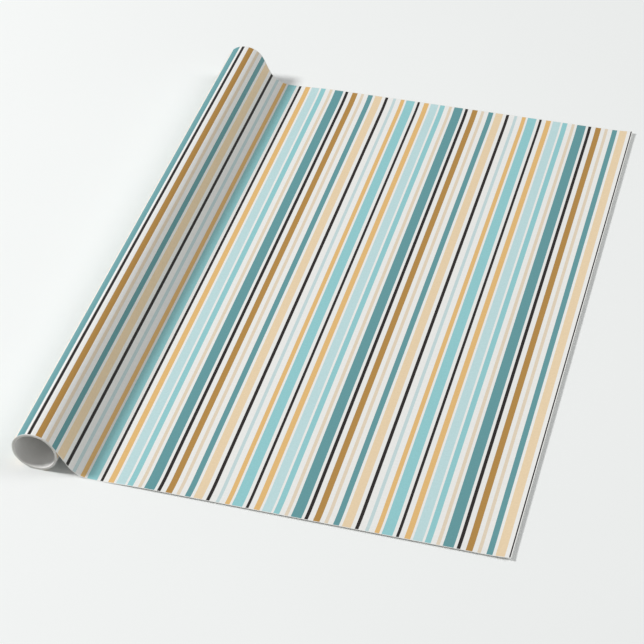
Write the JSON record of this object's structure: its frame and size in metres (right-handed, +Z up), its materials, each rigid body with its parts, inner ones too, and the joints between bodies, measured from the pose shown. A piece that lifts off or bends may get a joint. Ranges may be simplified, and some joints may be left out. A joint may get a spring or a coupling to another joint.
{
  "type": "wrapping paper roll",
  "caption": "Gift wrap: a printed paper sheet wound on a paperboard core, drawn off over the top of the roll and laid flat beside it, ready to cut.",
  "frame": {"origin": "on the table, under the middle of the whole object", "axes": "+Z up, Y along the roll, +X from the roll along the drawn sheet to its free edge"},
  "size_m": [0.549, 0.762, 0.0521],
  "materials": {
    "printed_paper": "smooth matt paper, printed on its outer side in stripes of teal, pale blue, gold, ochre, beige and black on white",
    "paper_edges": "cut edges of white uncoated paper, wound tight",
    "core_board": "spiral-wound paperboard with a white liner"
  },
  "bodies": {
    "lead": {"lead_curve": "printed_paper"},
    "roll": {"wound_paper": "paper_edges", "outer_turn": "printed_paper"},
    "core": {"core_tube": "core_board"},
    "sheet": {"laid_sheet": "printed_paper"},
    "edge": {"free_edge": "printed_paper"}
  },
  "joints": [
    {"name": "sheet_feed", "type": "slide", "parent": "lead", "child": "sheet", "axis": [1, 0, 0], "range_m": [-0.22, 1.1], "deforming": ["laid_sheet"]},
    {"name": "roll_turn", "type": "hinge", "parent": "lead", "child": "roll", "pos_m": [-0.24848, 0, 0.02602], "axis": [0, 1, 0], "range_deg": [-485, 2420]},
    {"name": "core_draw", "type": "slide", "parent": "roll", "child": "core", "axis": [0, -1, 0], "range_m": [-0.762, 0.762]},
    {"name": "edge_lift", "type": "hinge", "parent": "sheet", "child": "edge", "pos_m": [0.21452, 0, 0.00012], "axis": [0, -1, 0], "range_deg": [0, 90]}
  ],
  "couplings": [
    {"joint": "roll_turn", "follows": "sheet_feed", "rad_per_m": 38.314}
  ]
}
